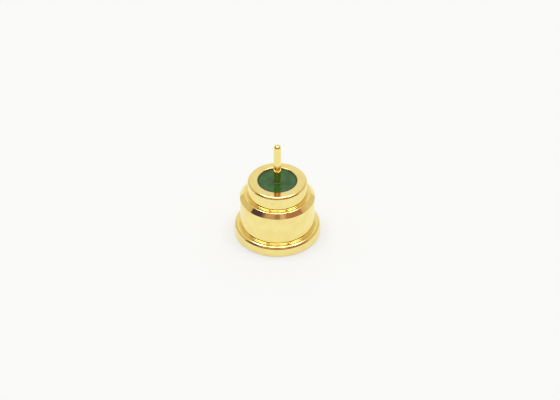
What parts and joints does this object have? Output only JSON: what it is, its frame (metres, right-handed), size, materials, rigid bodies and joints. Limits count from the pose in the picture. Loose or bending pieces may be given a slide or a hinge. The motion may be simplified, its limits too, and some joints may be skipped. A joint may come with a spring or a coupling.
{
  "type": "rf coaxial connector",
  "caption": "Round stepped coaxial connector shell with a flange, a flush glass seal and one straight contact pin along its axis.",
  "frame": {"origin": "centre of the mouth face, which is the underside of the flange and the lowest plane of the part", "axes": "+Z along the connector's axis, from the mating socket to the circuit pin; +X and +Y are any two directions across it, because the part is round"},
  "size_m": [0.0044, 0.0044, 0.0054],
  "materials": {
    "shell_gold": "gold plating over a turned sealing alloy, polished",
    "seal_glass": "dark green sealing glass, smooth fused surface",
    "pin_gold": "gold plating over sealing alloy wire, polished"
  },
  "bodies": {
    "root": {"outer_shell": "shell_gold", "glass_seal": "seal_glass", "centre_pin": "pin_gold"}
  },
  "joints": []
}
